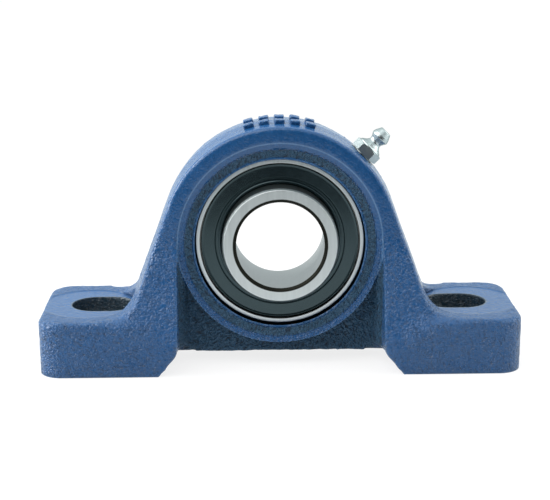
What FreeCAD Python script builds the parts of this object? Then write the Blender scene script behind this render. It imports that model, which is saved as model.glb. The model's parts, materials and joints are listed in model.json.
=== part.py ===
"""Pillow block bearing, size 206: cast two-bolt housing, spherical seat, taper-bore ball insert.

Millimetres. Origin: centre of the base underside. +X along the base, +Y along the
bore axis away from the small end of the taper, +Z up.
"""
import FreeCAD, Part
import math
import os

V = FreeCAD.Vector

# insert: the two radii that everything round the bore axis follows
SPHERE_R = 31.0
BORE_SMALL_R = 15.0
BORE_TAPER = 1.0 / 24.0
PITCH_R = (SPHERE_R + BORE_SMALL_R) / 2

# rolling elements and races
BALL_D = 9.525
BALLS = 9
BALL_CLEARANCE = 0.012
RACE_R = 0.52 * BALL_D
OUTER_SHOULDER_RISE = 2.9
INNER_SHOULDER_DROP = 3.1
OUTER_SHOULDER_R = PITCH_R + OUTER_SHOULDER_RISE
INNER_R = PITCH_R - INNER_SHOULDER_DROP

# cage
CAGE_BAND_HALF = 1.7
CAGE_IN_R = PITCH_R - CAGE_BAND_HALF
CAGE_OUT_R = PITCH_R + CAGE_BAND_HALF
CAGE_THICK = 0.7
POCKET_GAP = 0.08
RIVET_R = 0.8
RIVET_HEAD_R = 1.35
RIVET_HEAD_H = 0.45

# seals and the ends of the outer ring, from the mid plane outwards
CAGE_TO_SEAL = 0.3075
CORE_THICK = 0.6
CORE_PLAY = 0.3
CORE_EDGE_GAP = 0.1
RIM_WIDTH = 1.25
SEAL_STEP_Y = BALL_D / 2 + POCKET_GAP + CAGE_THICK + CAGE_TO_SEAL
SEAL_GROOVE_Y = SEAL_STEP_Y + CORE_THICK + CORE_PLAY
OUTER_HALF = SEAL_GROOVE_Y + RIM_WIDTH
SEAL_GROOVE_DEPTH = 1.7
SEAL_GROOVE_R = OUTER_SHOULDER_R + SEAL_GROOVE_DEPTH
CORE_R = SEAL_GROOVE_R - CORE_EDGE_GAP
CORE_IN_GAP = 1.7
CORE_IN_R = INNER_R + CORE_IN_GAP
MOUTH_STEP = 0.3
MOUTH_R = SEAL_GROOVE_R - MOUTH_STEP
MOUTH_CHAMFER = 0.2
OUTER_FACE_WIDTH = 1.45
OUTER_FACE_R = MOUTH_R + OUTER_FACE_WIDTH
OUTER_CORNER_DROP = 0.8
OUTER_CORNER_Y = OUTER_HALF - OUTER_CORNER_DROP
LIP_MOUTH_GAP = 0.15
LIP_OUT_R = MOUTH_R - LIP_MOUTH_GAP
LIP_EDGE = 0.25
LIP_FACE_RISE = 0.3
LIP_FACE_Y = SEAL_GROOVE_Y + LIP_FACE_RISE
LIP_FACE_DIP = 0.1
LIP_STEP_WIDTH = 2.2
LIP_STEP_DIP = 0.3
LIP_RIDGE_WIDTH = 1.0
LIP_STEP_R = INNER_R + LIP_STEP_WIDTH
LIP_STEP_Y = LIP_FACE_Y - LIP_STEP_DIP
LIP_RIDGE_R = INNER_R + LIP_RIDGE_WIDTH
LIP_RIDGE_Y = LIP_FACE_Y - LIP_FACE_DIP
LIP_SLOPE = 0.35
LIP_TIP_GAP = 0.05

# inner ring
INNER_HALF = 14.0
INNER_FACE_CHAMFER = 0.7
BORE_CHAMFER = 0.8

# grease holes of the outer ring
GREASE_HOLE_R = 0.8
GREASE_HOLE_WALL = 0.1
GREASE_HOLE_Y = SEAL_STEP_Y - GREASE_HOLE_R - GREASE_HOLE_WALL

# housing, outside
BASE_LENGTH = 165.0
BASE_WIDTH = 48.0
FOOT_THICK = 19.1
FOOT_CORNER_R = 8.0
FOOT_TOP_R = 1.5
AXIS_HEIGHT = 42.9
BOSS_WALL = 4.0
BOSS_R = SPHERE_R + BOSS_WALL
ARCH_WALL = 6.1
ARCH_R = BOSS_R + ARCH_WALL
ARCH_HALF = 12.5
DRAFT_PER_MM = 0.064
FLANK_DEG = 20.5
FLANK_FILLET_R = 10.0
FLANK_RUN = 1.1
FLARE_TOP_RISE = 0.6
FLARE_TOP_Z = AXIS_HEIGHT + FLARE_TOP_RISE
FLARE_LOW_Z = FOOT_THICK / 2
FLARE_TOP_R = 24.0
FLARE_LOW_R = 22.0
BODY_EDGE_R = 1.4

# housing, underside and pockets
POCKET_MARGIN = 0.2
POCKET_HALF = BOSS_R + POCKET_MARGIN
POCKET_TOP_DROP = 5.9
POCKET_TOP_Z = AXIS_HEIGHT - POCKET_TOP_DROP
LEG_WALL = 6.6
RELIEF_HALF = POCKET_HALF + LEG_WALL
RELIEF_HEIGHT = 3.0
WEB_HALF = 6.5
BOSS_DIP = 0.2
BOSS_HALF = ARCH_HALF - BOSS_DIP
DISH_EDGE = 2.0
DISH_DIP = 1.1
DISH_R = BOSS_R - DISH_EDGE
DISH_HALF = ARCH_HALF - DISH_DIP
NUB_HALF = 1.3
NUB_DROP = 0.9
NUB_ROOT = 0.5

# foot outline under the arch: an arc from the top face down towards the relief, by its runs
# outwards and inwards from the relief and its drops from the top face
HAUNCH_TOP_RUN = 15.2
HAUNCH_MID_RUN = 2.2
HAUNCH_MID_DROP = 4.3
HAUNCH_LOW_RUN = 5.3
HAUNCH_LOW_DROP = 13.6
FOOT_INNER_RUN = 11.8
HAUNCH_TOP_X = RELIEF_HALF + HAUNCH_TOP_RUN
HAUNCH_MID_X = RELIEF_HALF + HAUNCH_MID_RUN
HAUNCH_MID_Z = FOOT_THICK - HAUNCH_MID_DROP
HAUNCH_LOW_X = RELIEF_HALF - HAUNCH_LOW_RUN
HAUNCH_LOW_Z = FOOT_THICK - HAUNCH_LOW_DROP
FOOT_INNER_X = RELIEF_HALF - FOOT_INNER_RUN

# mounting slots, set back from the ends of the base
SLOT_FROM_END = 20.5
SLOT_SPACING = BASE_LENGTH - 2 * SLOT_FROM_END
SLOT_WIDTH = 17.0
SLOT_LENGTH = 22.0
SPOT_WALL = 8.0
SPOT_R = SLOT_WIDTH / 2 + SPOT_WALL
SPOT_RUN = 5.0
SPOT_X = SLOT_SPACING / 2 + SPOT_RUN
SPOT_SINK = 0.2

# spherical seat
SEAT_CLEARANCE = 0.035
SEAT_R = SPHERE_R + SEAT_CLEARANCE
SEAT_EDGE_DIP = 2.05
SEAT_EDGE_HALF = ARCH_HALF - SEAT_EDGE_DIP
SEAT_LAND = 0.1
SEAT_GROOVE_DEPTH = 1.15
SEAT_GROOVE_MARGIN = 0.6
LOAD_SLOT_PLAY = 0.1
LOAD_SLOT_R = SPHERE_R + LOAD_SLOT_PLAY
LOAD_SLOT_SPARE = 0.3
LOAD_SLOT_HALF = OUTER_HALF + LOAD_SLOT_SPARE

# grease nipple, heights along its axis from the hex underside
NIPPLE_DEG = 45.0
HEX_TURN_DEG = 9.5
NIPPLE_FLAT_SINK = 0.5
NIPPLE_FLAT_R = ARCH_R - NIPPLE_FLAT_SINK
WASHER_FACE_H = 0.4
WASHER_FACE_R = 3.9
HEX_FLATS = 9.0
HEX_CORNER_R = HEX_FLATS / math.sqrt(3)
HEX_H = 3.1
HEX_BEVEL = 0.45
HEX_BEVEL_H = 0.35
FLAT_MARGIN = 0.7
COLLAR_R = 4.3
COLLAR_H = 0.35
COLLAR_EDGE = 0.2
CONE_R = 3.0
CONE_RISE = 1.35
CONE_TOP_H = HEX_H + CONE_RISE
NECK_R = 2.25
NECK_LOW_RISE = 2.3
NECK_HIGH_RISE = 3.1
NECK_LOW_H = HEX_H + NECK_LOW_RISE
NECK_HIGH_H = HEX_H + NECK_HIGH_RISE
HEAD_R = 3.25
HEAD_EDGE = 0.2
HEAD_LOW_RISE = 4.45
HEAD_WIDE_RISE = 4.75
HEAD_TOP_RISE = 5.8
TIP_RISE = 7.85
HEAD_LOW_H = HEX_H + HEAD_LOW_RISE
HEAD_WIDE_H = HEX_H + HEAD_WIDE_RISE
HEAD_TOP_H = HEX_H + HEAD_TOP_RISE
NIPPLE_H = HEX_H + TIP_RISE
TIP_R = 2.0
TIP_HOLE_R = 0.85
TIP_WALL = 0.55
TIP_CONE_H = 0.75
THREAD_R = 3.0
THREAD_PLAY = 0.02
THREAD_LENGTH = 5.5
THREAD_LEAD = 0.5
THREAD_HOLE_SPARE = 0.3
NIPPLE_BORE_R = 1.4
NIPPLE_PASS_R = 0.75
GREASE_DRILL_R = 1.5

# check ball and spring inside the nipple
CHECK_BALL_R = 1.2
CHECK_GAP = 0.01
SPRING_WIRE_HALF = 0.16
SPRING_PLAY = 0.12
SPRING_TURNS = 5
SPRING_SEAT_H = 2.6

# how far cutting tools run past the surface they cut
REACH = 12.0

CENTRE = V(0, 0, AXIS_HEIGHT)
ALONG = V(0, 1, 0)


def pt(r, y):
    """Point of a turned profile in the half plane through the bore axis."""
    return V(r, y, AXIS_HEIGHT)


def wire_of(start, steps, place):
    """Closed wire: each step is an end point, or (mid, end) for an arc."""
    edges, here = [], place(*start)
    for step in steps:
        if isinstance(step[0], tuple):
            mid, end = place(*step[0]), place(*step[1])
            edges.append(Part.Arc(here, mid, end).toShape())
        else:
            end = place(*step)
            edges.append(Part.makeLine(here, end))
        here = end
    first = place(*start)
    if here.distanceToPoint(first) > 1e-7:
        edges.append(Part.makeLine(here, first))
    return Part.Wire(edges)


def turned(start, steps):
    face = Part.Face(wire_of(start, steps, pt))
    return face.revolve(CENTRE, ALONG, 360)


def mirrored(steps):
    """The same profile steps on the other side of the mid plane, in reverse order."""
    return [(r, -y) for r, y in reversed(steps)]


def prism_xz(points, y0, y1):
    pts = [V(x, y0, z) for x, z in points]
    face = Part.Face(Part.makePolygon(pts + pts[:1]))
    return face.extrude(V(0, y1 - y0, 0))


def polar(radius, angle_deg, y=0.0):
    a = math.radians(angle_deg)
    return V(radius * math.cos(a), y, AXIS_HEIGHT + radius * math.sin(a))


def fused(shapes):
    return shapes[0].multiFuse(shapes[1:])


def fillet_centre(radius):
    """Centre of the fillet that joins a flank to the foot's top face."""
    a = math.radians(FLANK_DEG)
    z = FOOT_THICK + FLANK_FILLET_R
    x = (radius + FLANK_FILLET_R - (z - AXIS_HEIGHT) * math.sin(a)) / math.cos(a)
    return x, z


def body_wire(y):
    """Arch and flanks at depth y; the draft makes the outline smaller away from the mid plane."""
    a = math.radians(FLANK_DEG)
    r = ARCH_R - DRAFT_PER_MM * abs(y)
    side_x = fillet_centre(ARCH_R)[0] + FLANK_RUN
    qx, qz = fillet_centre(r)
    on_flank = (qx - FLANK_FILLET_R * math.cos(a), qz - FLANK_FILLET_R * math.sin(a))
    half = (math.pi / 2 - a) / 2
    mid = (qx - FLANK_FILLET_R * math.sin(half), qz - FLANK_FILLET_R * math.cos(half))
    tangent = (r * math.cos(a), AXIS_HEIGHT + r * math.sin(a))

    def other(p):
        return (-p[0], p[1])

    steps = [(side_x, FOOT_THICK), (qx, FOOT_THICK), (mid, on_flank), tangent,
             ((0.0, AXIS_HEIGHT + r), other(tangent)), other(on_flank),
             (other(mid), (-qx, FOOT_THICK)), (-side_x, FOOT_THICK), (-side_x, 0.0)]
    return wire_of((side_x, 0.0), steps, lambda x, z: V(x, y, z))


def side_profile():
    """Depth of the casting seen along X: full width at the base, narrower at the arch."""
    h, top = BASE_WIDTH / 2, AXIS_HEIGHT + ARCH_R + REACH
    pts = [(h, 0), (h, FLARE_LOW_Z), (ARCH_HALF, FLARE_TOP_Z), (ARCH_HALF, top),
           (-ARCH_HALF, top), (-ARCH_HALF, FLARE_TOP_Z), (-h, FLARE_LOW_Z), (-h, 0)]
    ring = [V(-BASE_LENGTH / 2, y, z) for y, z in pts]
    solid = Part.Face(Part.makePolygon(ring + ring[:1])).extrude(V(BASE_LENGTH, 0, 0))
    for z, radius in ((FLARE_TOP_Z, FLARE_TOP_R), (FLARE_LOW_Z, FLARE_LOW_R)):
        edges = [e for e in solid.Edges
                 if e.BoundBox.XLength > BASE_LENGTH - 1 and abs(e.CenterOfMass.z - z) < 1e-6]
        solid = solid.makeFillet(radius, edges)
    return solid


def body():
    """Arch and flanks, drafted both ways from the mid plane, with the outline rounded."""
    halves = [Part.makeLoft([body_wire(0.0), body_wire(s * BASE_WIDTH / 2)], True, True)
              for s in (-1, 1)]
    profile = side_profile()
    outline = [h.Shells[0] for h in halves]
    flanks = profile.Shells[0]
    solid = fused(halves).common(profile)

    def on_rim(edge):
        """True where the outline meets the front or the rear, above the foot."""
        lo, hi = edge.ParameterRange
        for share in (0.3, 0.7):
            p = edge.valueAt(lo + share * (hi - lo))
            dot = Part.Vertex(p)
            if p.z < FOOT_THICK + 0.01 or abs(p.y) < 1.0 or flanks.distToShape(dot)[0] > 1e-3:
                return False
            if min(shell.distToShape(dot)[0] for shell in outline) > 1e-3:
                return False
        return True

    return solid.makeFillet(BODY_EDGE_R, [e for e in solid.Edges if on_rim(e)])


def foot(side):
    """One foot block with rounded plan corners and a rounded top edge."""
    outer = BASE_LENGTH / 2
    steps = [(side * outer, FOOT_THICK), (side * HAUNCH_TOP_X, FOOT_THICK),
             ((side * HAUNCH_MID_X, HAUNCH_MID_Z), (side * HAUNCH_LOW_X, HAUNCH_LOW_Z)),
             (side * FOOT_INNER_X, 0.0)]
    outline = wire_of((side * outer, 0.0), steps, lambda x, z: V(x, -BASE_WIDTH / 2, z))
    block = Part.Face(outline).extrude(V(0, BASE_WIDTH, 0))
    corners = [e for e in block.Edges
               if e.BoundBox.ZLength > FOOT_THICK - 1 and e.BoundBox.XLength < 1e-6
               and abs(e.CenterOfMass.x - side * outer) < 1e-6]
    block = block.makeFillet(FOOT_CORNER_R, corners)
    rim = [e for e in block.Edges if e.BoundBox.ZLength < 1e-6
           and abs(e.CenterOfMass.z - FOOT_THICK) < 1e-6
           and abs(e.CenterOfMass.x) > HAUNCH_TOP_X + 0.1]
    return block.makeFillet(FOOT_TOP_R, rim)


def slot_tool(cx):
    radius, half_run, height = SLOT_WIDTH / 2, (SLOT_LENGTH - SLOT_WIDTH) / 2, FOOT_THICK + 2 * REACH
    box = Part.makeBox(2 * half_run, SLOT_WIDTH, height, V(cx - half_run, -radius, -REACH))
    ends = [Part.makeCylinder(radius, height, V(cx + s * half_run, 0, -REACH)) for s in (-1, 1)]
    return fused([box] + ends).removeSplitter()


def relief_outline(bevel, top_z):
    """Opening in the underside: its wall leans inwards for the bevel, then stands up."""
    w = RELIEF_HALF - bevel
    return [(-RELIEF_HALF, -1), (-RELIEF_HALF, 0), (-w, bevel), (-w, top_z),
            (w, top_z), (w, bevel), (RELIEF_HALF, 0), (RELIEF_HALF, -1)]


def housing():
    cast = fused([body(), foot(-1), foot(1)]).removeSplitter()

    shallow = [p for p in relief_outline(RELIEF_HEIGHT, RELIEF_HEIGHT + 1) if p[1] <= RELIEF_HEIGHT]
    tools = [prism_xz(shallow, -BASE_WIDTH, BASE_WIDTH)]
    boss = Part.makeCylinder(BOSS_R, 4 * BASE_WIDTH, V(0, -2 * BASE_WIDTH, AXIS_HEIGHT), ALONG)
    edge_r = math.sqrt(SEAT_R ** 2 - SEAT_EDGE_HALF ** 2) + SEAT_LAND
    for s in (-1, 1):
        deep = relief_outline(RELIEF_HALF - POCKET_HALF, POCKET_TOP_Z)
        tools.append(prism_xz(deep, s * WEB_HALF, s * BASE_WIDTH).cut(boss))
        tools.append(turned((0.0, s * SEAT_EDGE_HALF),
                            [(edge_r, s * SEAT_EDGE_HALF), (DISH_R, s * DISH_HALF),
                             (BOSS_R, s * BOSS_HALF), (BOSS_R, s * BASE_WIDTH), (0.0, s * BASE_WIDTH)]))
        tools.append(slot_tool(s * SLOT_SPACING / 2))
        tools.append(Part.makeCylinder(SPOT_R, REACH, V(s * SPOT_X, 0, FOOT_THICK - SPOT_SINK)))
    cast = cast.cut(tools)

    nub = [(-NUB_HALF, RELIEF_HEIGHT + NUB_ROOT), (-NUB_HALF, RELIEF_HEIGHT), (0, RELIEF_HEIGHT - NUB_DROP),
           (NUB_HALF, RELIEF_HEIGHT), (NUB_HALF, RELIEF_HEIGHT + NUB_ROOT)]
    cast = cast.fuse(prism_xz(nub, -NUB_HALF, NUB_HALF))
    for tool in seat_tools() + nipple_tools():
        cast = cast.cut(tool)
    return cast


def seat_tools():
    """Spherical seat, the two loading slots at the rear and the grease groove."""
    seat = Part.makeSphere(SEAT_R, CENTRE, ALONG)
    load = Part.makeCylinder(LOAD_SLOT_R, BASE_WIDTH, CENTRE, ALONG)
    load = load.common(Part.makeBox(4 * SEAT_R, BASE_WIDTH, 2 * LOAD_SLOT_HALF,
                                    V(-2 * SEAT_R, 0, AXIS_HEIGHT - LOAD_SLOT_HALF)))
    inner, outer = SEAT_R - 2 * SEAT_GROOVE_DEPTH, SEAT_R + SEAT_GROOVE_DEPTH
    y0, y1 = -GREASE_DRILL_R - SEAT_GROOVE_MARGIN, GREASE_HOLE_Y + GREASE_HOLE_R
    return [seat, load, turned((inner, y0), [(outer, y0), (outer, y1), (inner, y1)])]


def nipple_tools():
    """Flat under the nipple, its threaded hole and the drilling to the seat."""
    out, depth = nipple_dir(), THREAD_LENGTH + THREAD_HOLE_SPARE
    return [Part.makeCylinder(HEX_CORNER_R + FLAT_MARGIN, REACH, CENTRE + out * NIPPLE_FLAT_R, out),
            Part.makeCylinder(THREAD_R, depth + 1, CENTRE + out * (NIPPLE_FLAT_R - depth), out),
            Part.makeCylinder(GREASE_DRILL_R, NIPPLE_FLAT_R - SEAT_R, CENTRE + out * (SEAT_R - 1), out)]


def nipple_dir():
    a = math.radians(NIPPLE_DEG)
    return V(math.cos(a), 0, math.sin(a))


def outer_ring():
    corner_r = math.sqrt(SPHERE_R ** 2 - OUTER_CORNER_Y ** 2)
    race_c = PITCH_R + BALL_D / 2 + BALL_CLEARANCE - RACE_R
    race_y = math.sqrt(RACE_R ** 2 - (OUTER_SHOULDER_R - race_c) ** 2)
    side = [(OUTER_FACE_R, OUTER_HALF), (MOUTH_R + MOUTH_CHAMFER, OUTER_HALF),
            (MOUTH_R, OUTER_HALF - MOUTH_CHAMFER), (MOUTH_R, SEAL_GROOVE_Y),
            (SEAL_GROOVE_R, SEAL_GROOVE_Y), (SEAL_GROOVE_R, SEAL_STEP_Y),
            (OUTER_SHOULDER_R, SEAL_STEP_Y), (OUTER_SHOULDER_R, race_y)]
    steps = side + [((race_c + RACE_R, 0.0), (OUTER_SHOULDER_R, -race_y))] + mirrored(side)[1:]
    steps += [(corner_r, -OUTER_CORNER_Y), ((SPHERE_R, 0.0), (corner_r, OUTER_CORNER_Y))]
    ring = turned((corner_r, OUTER_CORNER_Y), steps)
    for angle in (90.0, 270.0):
        start = polar(OUTER_SHOULDER_R - 1, angle, GREASE_HOLE_Y)
        ring = ring.cut(Part.makeCylinder(GREASE_HOLE_R, REACH, start, polar(1, angle) - CENTRE))
    return ring


def inner_ring():
    race_c = PITCH_R - BALL_D / 2 - BALL_CLEARANCE + RACE_R
    race_y = math.sqrt(RACE_R ** 2 - (race_c - INNER_R) ** 2)

    def bore(y):
        return BORE_SMALL_R + BORE_TAPER * (y + INNER_HALF)

    h, c, b = INNER_HALF, INNER_FACE_CHAMFER, BORE_CHAMFER
    steps = [(INNER_R, -h + c), (INNER_R, -race_y), ((race_c - RACE_R, 0.0), (INNER_R, race_y)),
             (INNER_R, h - c), (INNER_R - c, h), (bore(h) + b, h), (bore(h - b), h - b),
             (bore(-h + b), -h + b), (bore(-h) + b, -h)]
    return turned((INNER_R - c, -h), steps)


def ball_angle(index):
    return 90.0 + index * 360.0 / BALLS


def rivet_angle(index):
    return ball_angle(index) + 180.0 / BALLS


def ball(index):
    return Part.makeSphere(BALL_D / 2, polar(PITCH_R, ball_angle(index)), ALONG)


def rivet_pin(index):
    return Part.makeCylinder(RIVET_R, 2 * CAGE_THICK, polar(PITCH_R, rivet_angle(index), -CAGE_THICK), ALONG)


def cage_half(side):
    """Pressed half of the ribbon cage: flat bridges between spherical pockets."""
    def tube(height):
        base = V(0, min(0, side * height), AXIS_HEIGHT)
        return Part.makeCylinder(CAGE_OUT_R, height, base, ALONG).cut(
            Part.makeCylinder(CAGE_IN_R, height, base, ALONG))

    room = BALL_D / 2 + POCKET_GAP
    shell_r = room + CAGE_THICK
    band = tube(shell_r + 1)
    shells = [Part.makeSphere(shell_r, polar(PITCH_R, ball_angle(i))) for i in range(BALLS)]
    rooms = [Part.makeSphere(room, polar(PITCH_R, ball_angle(i))) for i in range(BALLS)]
    half = tube(CAGE_THICK).fuse([s.common(band) for s in shells])
    return half.cut(rooms + [rivet_pin(i) for i in range(BALLS)]).removeSplitter()


def cage_rivets():
    rivets = []
    for i in range(BALLS):
        heads = [Part.makeCylinder(RIVET_HEAD_R, RIVET_HEAD_H, polar(PITCH_R, rivet_angle(i), y), ALONG)
                 for y in (CAGE_THICK, -CAGE_THICK - RIVET_HEAD_H)]
        rivets.append(fused([rivet_pin(i)] + heads).removeSplitter())
    return Part.makeCompound(rivets)


def seal_core(side):
    y0, y1 = side * SEAL_STEP_Y, side * (SEAL_STEP_Y + CORE_THICK)
    return turned((CORE_IN_R, y0), [(CORE_R, y0), (CORE_R, y1), (CORE_IN_R, y1)])


def seal_lip(side):
    """Rubber bonded on the outside of the core and round its inner edge."""
    tip, back, core_face = INNER_R + LIP_TIP_GAP, SEAL_STEP_Y, SEAL_STEP_Y + CORE_THICK
    pts = [(LIP_OUT_R, core_face), (LIP_OUT_R, LIP_FACE_Y - LIP_EDGE), (LIP_OUT_R - LIP_EDGE, LIP_FACE_Y),
           (LIP_STEP_R + LIP_SLOPE, LIP_FACE_Y - LIP_FACE_DIP), (LIP_STEP_R, LIP_STEP_Y),
           (LIP_RIDGE_R + LIP_SLOPE, LIP_STEP_Y), (LIP_RIDGE_R, LIP_RIDGE_Y),
           (LIP_RIDGE_R - LIP_SLOPE, LIP_RIDGE_Y), (tip, LIP_STEP_Y - LIP_SLOPE), (tip, back + LIP_FACE_DIP),
           (tip + 2 * LIP_SLOPE, back), (CORE_IN_R, back), (CORE_IN_R, core_face)]
    pts = [(r, side * y) for r, y in pts]
    return turned(pts[0], pts[1:])


def nipple_frame():
    """Placement that carries a part turned about +Z, hex underside at z 0, onto the housing."""
    out = nipple_dir()
    base = CENTRE + out * (NIPPLE_FLAT_R + WASHER_FACE_H)
    return FreeCAD.Placement(base, FreeCAD.Rotation(V(0, 0, 1), out))


def turned_z(points):
    pts = [V(r, 0, z) for r, z in points]
    return Part.Face(Part.makePolygon(pts + pts[:1])).revolve(V(0, 0, 0), V(0, 0, 1), 360)


def check_ball_height():
    """Centre of the check ball when it rests in the cone behind the tip hole."""
    run = NIPPLE_BORE_R - TIP_HOLE_R
    slope = math.hypot(run, TIP_CONE_H)
    drop = ((CHECK_BALL_R + CHECK_GAP) * slope - TIP_HOLE_R * TIP_CONE_H) / run
    return NIPPLE_H - TIP_WALL - drop


def grease_nipple():
    low, shank = -WASHER_FACE_H - THREAD_LENGTH, THREAD_R - THREAD_PLAY
    stem = turned_z([(0, low), (shank - THREAD_LEAD, low), (shank, low + THREAD_LEAD), (shank, -WASHER_FACE_H),
                     (WASHER_FACE_R, -WASHER_FACE_H), (WASHER_FACE_R, 0), (COLLAR_R, COLLAR_EDGE),
                     (COLLAR_R, HEX_H + COLLAR_H), (COLLAR_R - COLLAR_EDGE, HEX_H + COLLAR_H + COLLAR_EDGE),
                     (CONE_R, CONE_TOP_H), (NECK_R, NECK_LOW_H), (NECK_R, NECK_HIGH_H),
                     (HEAD_R - HEAD_EDGE, HEAD_LOW_H), (HEAD_R, HEAD_WIDE_H),
                     (HEAD_R - HEAD_EDGE, HEAD_TOP_H), (TIP_R, NIPPLE_H), (0, NIPPLE_H)])
    corners = [V(HEX_CORNER_R * math.cos(a), HEX_CORNER_R * math.sin(a), 0)
               for a in (math.radians(60 * k - HEX_TURN_DEG) for k in range(6))]
    hexagon = Part.Face(Part.makePolygon(corners + corners[:1])).extrude(V(0, 0, HEX_H))
    narrow, wide = HEX_CORNER_R - HEX_BEVEL, HEX_CORNER_R + 0.1
    bevel = turned_z([(0, 0), (narrow, 0), (wide, HEX_BEVEL_H), (wide, HEX_H - HEX_BEVEL_H),
                      (narrow, HEX_H), (0, HEX_H)])
    seat_h = NIPPLE_H - TIP_WALL
    bore = turned_z([(0, low - 1), (NIPPLE_PASS_R, low - 1), (NIPPLE_PASS_R, SPRING_SEAT_H),
                     (NIPPLE_BORE_R, SPRING_SEAT_H), (NIPPLE_BORE_R, seat_h - TIP_CONE_H),
                     (TIP_HOLE_R, seat_h), (TIP_HOLE_R, NIPPLE_H + 1), (0, NIPPLE_H + 1)])
    solid = stem.fuse(hexagon.common(bevel)).cut(bore).removeSplitter()
    solid.Placement = nipple_frame()
    return solid


def nipple_check_ball():
    solid = Part.makeSphere(CHECK_BALL_R, V(0, 0, check_ball_height()))
    solid.Placement = nipple_frame()
    return solid


def nipple_spring():
    """Coil of square wire that stands in the nipple's bore and presses the check ball outwards."""
    mean, w = NIPPLE_BORE_R - SPRING_WIRE_HALF - SPRING_PLAY, SPRING_WIRE_HALF
    top = check_ball_height() - math.sqrt((CHECK_BALL_R + CHECK_GAP) ** 2 - (mean - w) ** 2) - w
    bottom = SPRING_SEAT_H + w + CHECK_GAP
    helix = Part.makeHelix((top - bottom) / SPRING_TURNS, top - bottom, mean)
    corners = [V(mean + dx, 0, dz) for dx, dz in ((-w, -w), (w, -w), (w, w), (-w, w), (-w, -w))]
    coil = Part.Wire(helix).makePipeShell([Part.makePolygon(corners)], True, True)
    coil.translate(V(0, 0, bottom))
    coil.Placement = nipple_frame().multiply(coil.Placement)
    return coil


def main():
    os.makedirs("parts", exist_ok=True)
    nodes = {"housing": housing(), "outer_ring": outer_ring(), "inner_ring": inner_ring(),
             "cage_front": cage_half(-1), "cage_rear": cage_half(1), "cage_rivets": cage_rivets(),
             "seal_front_core": seal_core(-1), "seal_front_lip": seal_lip(-1),
             "seal_rear_core": seal_core(1), "seal_rear_lip": seal_lip(1),
             "grease_nipple": grease_nipple(), "nipple_check_ball": nipple_check_ball(),
             "nipple_spring": nipple_spring()}
    for i in range(BALLS):
        nodes["ball_%d" % (i + 1)] = ball(i)
    for name, shape in nodes.items():
        box = shape.BoundBox
        print("%-18s solids %2d valid %s volume %10.2f  x %.2f..%.2f y %.2f..%.2f z %.2f..%.2f"
              % (name, len(shape.Solids), shape.isValid(), shape.Volume, box.XMin, box.XMax,
                 box.YMin, box.YMax, box.ZMin, box.ZMax))
        shape.exportStep("parts/%s.step" % name)


main()
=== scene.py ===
# %% [markdown]
# # A pillow block bearing in blue cast iron
#
# A pillow block is a foot that holds a ball bearing, so that a shaft can run above a machine bed.
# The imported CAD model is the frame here: it says where every piece is and how it moves. This
# lesson dresses it: a cast and painted housing, ground steel rings, rubber seals and a plated
# grease nipple, in the light of a small product studio.

import json
import math

import bmesh
import bpy
from mathutils import Euler, Matrix, Vector, noise


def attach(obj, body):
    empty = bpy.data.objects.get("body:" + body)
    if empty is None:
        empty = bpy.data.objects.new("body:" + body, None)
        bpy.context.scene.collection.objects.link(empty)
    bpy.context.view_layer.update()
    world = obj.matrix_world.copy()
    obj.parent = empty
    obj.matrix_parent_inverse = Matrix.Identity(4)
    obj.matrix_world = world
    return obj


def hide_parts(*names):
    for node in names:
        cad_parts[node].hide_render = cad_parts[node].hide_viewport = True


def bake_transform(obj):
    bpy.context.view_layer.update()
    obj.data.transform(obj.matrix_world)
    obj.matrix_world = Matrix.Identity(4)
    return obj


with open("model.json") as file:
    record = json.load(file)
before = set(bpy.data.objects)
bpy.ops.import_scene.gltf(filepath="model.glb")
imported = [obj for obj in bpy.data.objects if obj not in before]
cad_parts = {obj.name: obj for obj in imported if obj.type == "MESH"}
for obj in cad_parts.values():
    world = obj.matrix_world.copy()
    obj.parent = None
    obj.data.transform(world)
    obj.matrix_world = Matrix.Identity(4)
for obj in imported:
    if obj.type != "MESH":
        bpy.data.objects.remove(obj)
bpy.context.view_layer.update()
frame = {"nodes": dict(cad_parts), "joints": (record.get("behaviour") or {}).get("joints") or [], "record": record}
nodes = frame["nodes"]
MM = 0.001

spin = next(j for j in frame["joints"] if j["name"] == "shaft_spin")
AXIS = Vector(spin["pos_m"])
head = next(m for m in frame["record"]["mounts"] if m["name"] == "nipple_head")
NIPPLE_TIP = Vector(head["pos_m"])
NIPPLE_DIR = Vector(head["axis"]).normalized()
print("bore axis at", [round(v, 4) for v in AXIS])


def mm(*values):
    """Several lengths at once, given in millimetres."""
    return [value * MM for value in values]


# %% [markdown]
# ## Camera
#
# The camera stands where the photographer's stood: half a metre in front, a little above, with a
# long lens that keeps the bore nearly round. The picture's perspective fixed these numbers, so a
# different lens at another distance would change the shape of every ellipse.

# %% Camera
CAMERA_AT = Vector((-12.797, -455.079, 156.842)) * MM
CAMERA_YAW, CAMERA_PITCH, CAMERA_ROLL = 1.42, 14.637, 0.172
CAMERA_LENS = 88.0

camera = bpy.data.objects.new("camera", bpy.data.cameras.new("camera"))
camera.data.lens = CAMERA_LENS
camera.data.clip_start = 0.01
camera.location = CAMERA_AT
turn = Euler((math.radians(90.0 - CAMERA_PITCH), 0.0, math.radians(-CAMERA_YAW)))
roll = Euler((0, 0, math.radians(-CAMERA_ROLL)))
camera.rotation_mode = "QUATERNION"
camera.rotation_quaternion = turn.to_quaternion() @ roll.to_quaternion()
bpy.context.scene.collection.objects.link(camera)
bpy.context.scene.camera = camera

# %% [markdown]
# ## Helpers for shader nodes
#
# Every look below is a small graph of nodes. One helper makes any node, and four more make the
# kinds that come up again and again: sums, ranges, noises and mixed colours.

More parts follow.
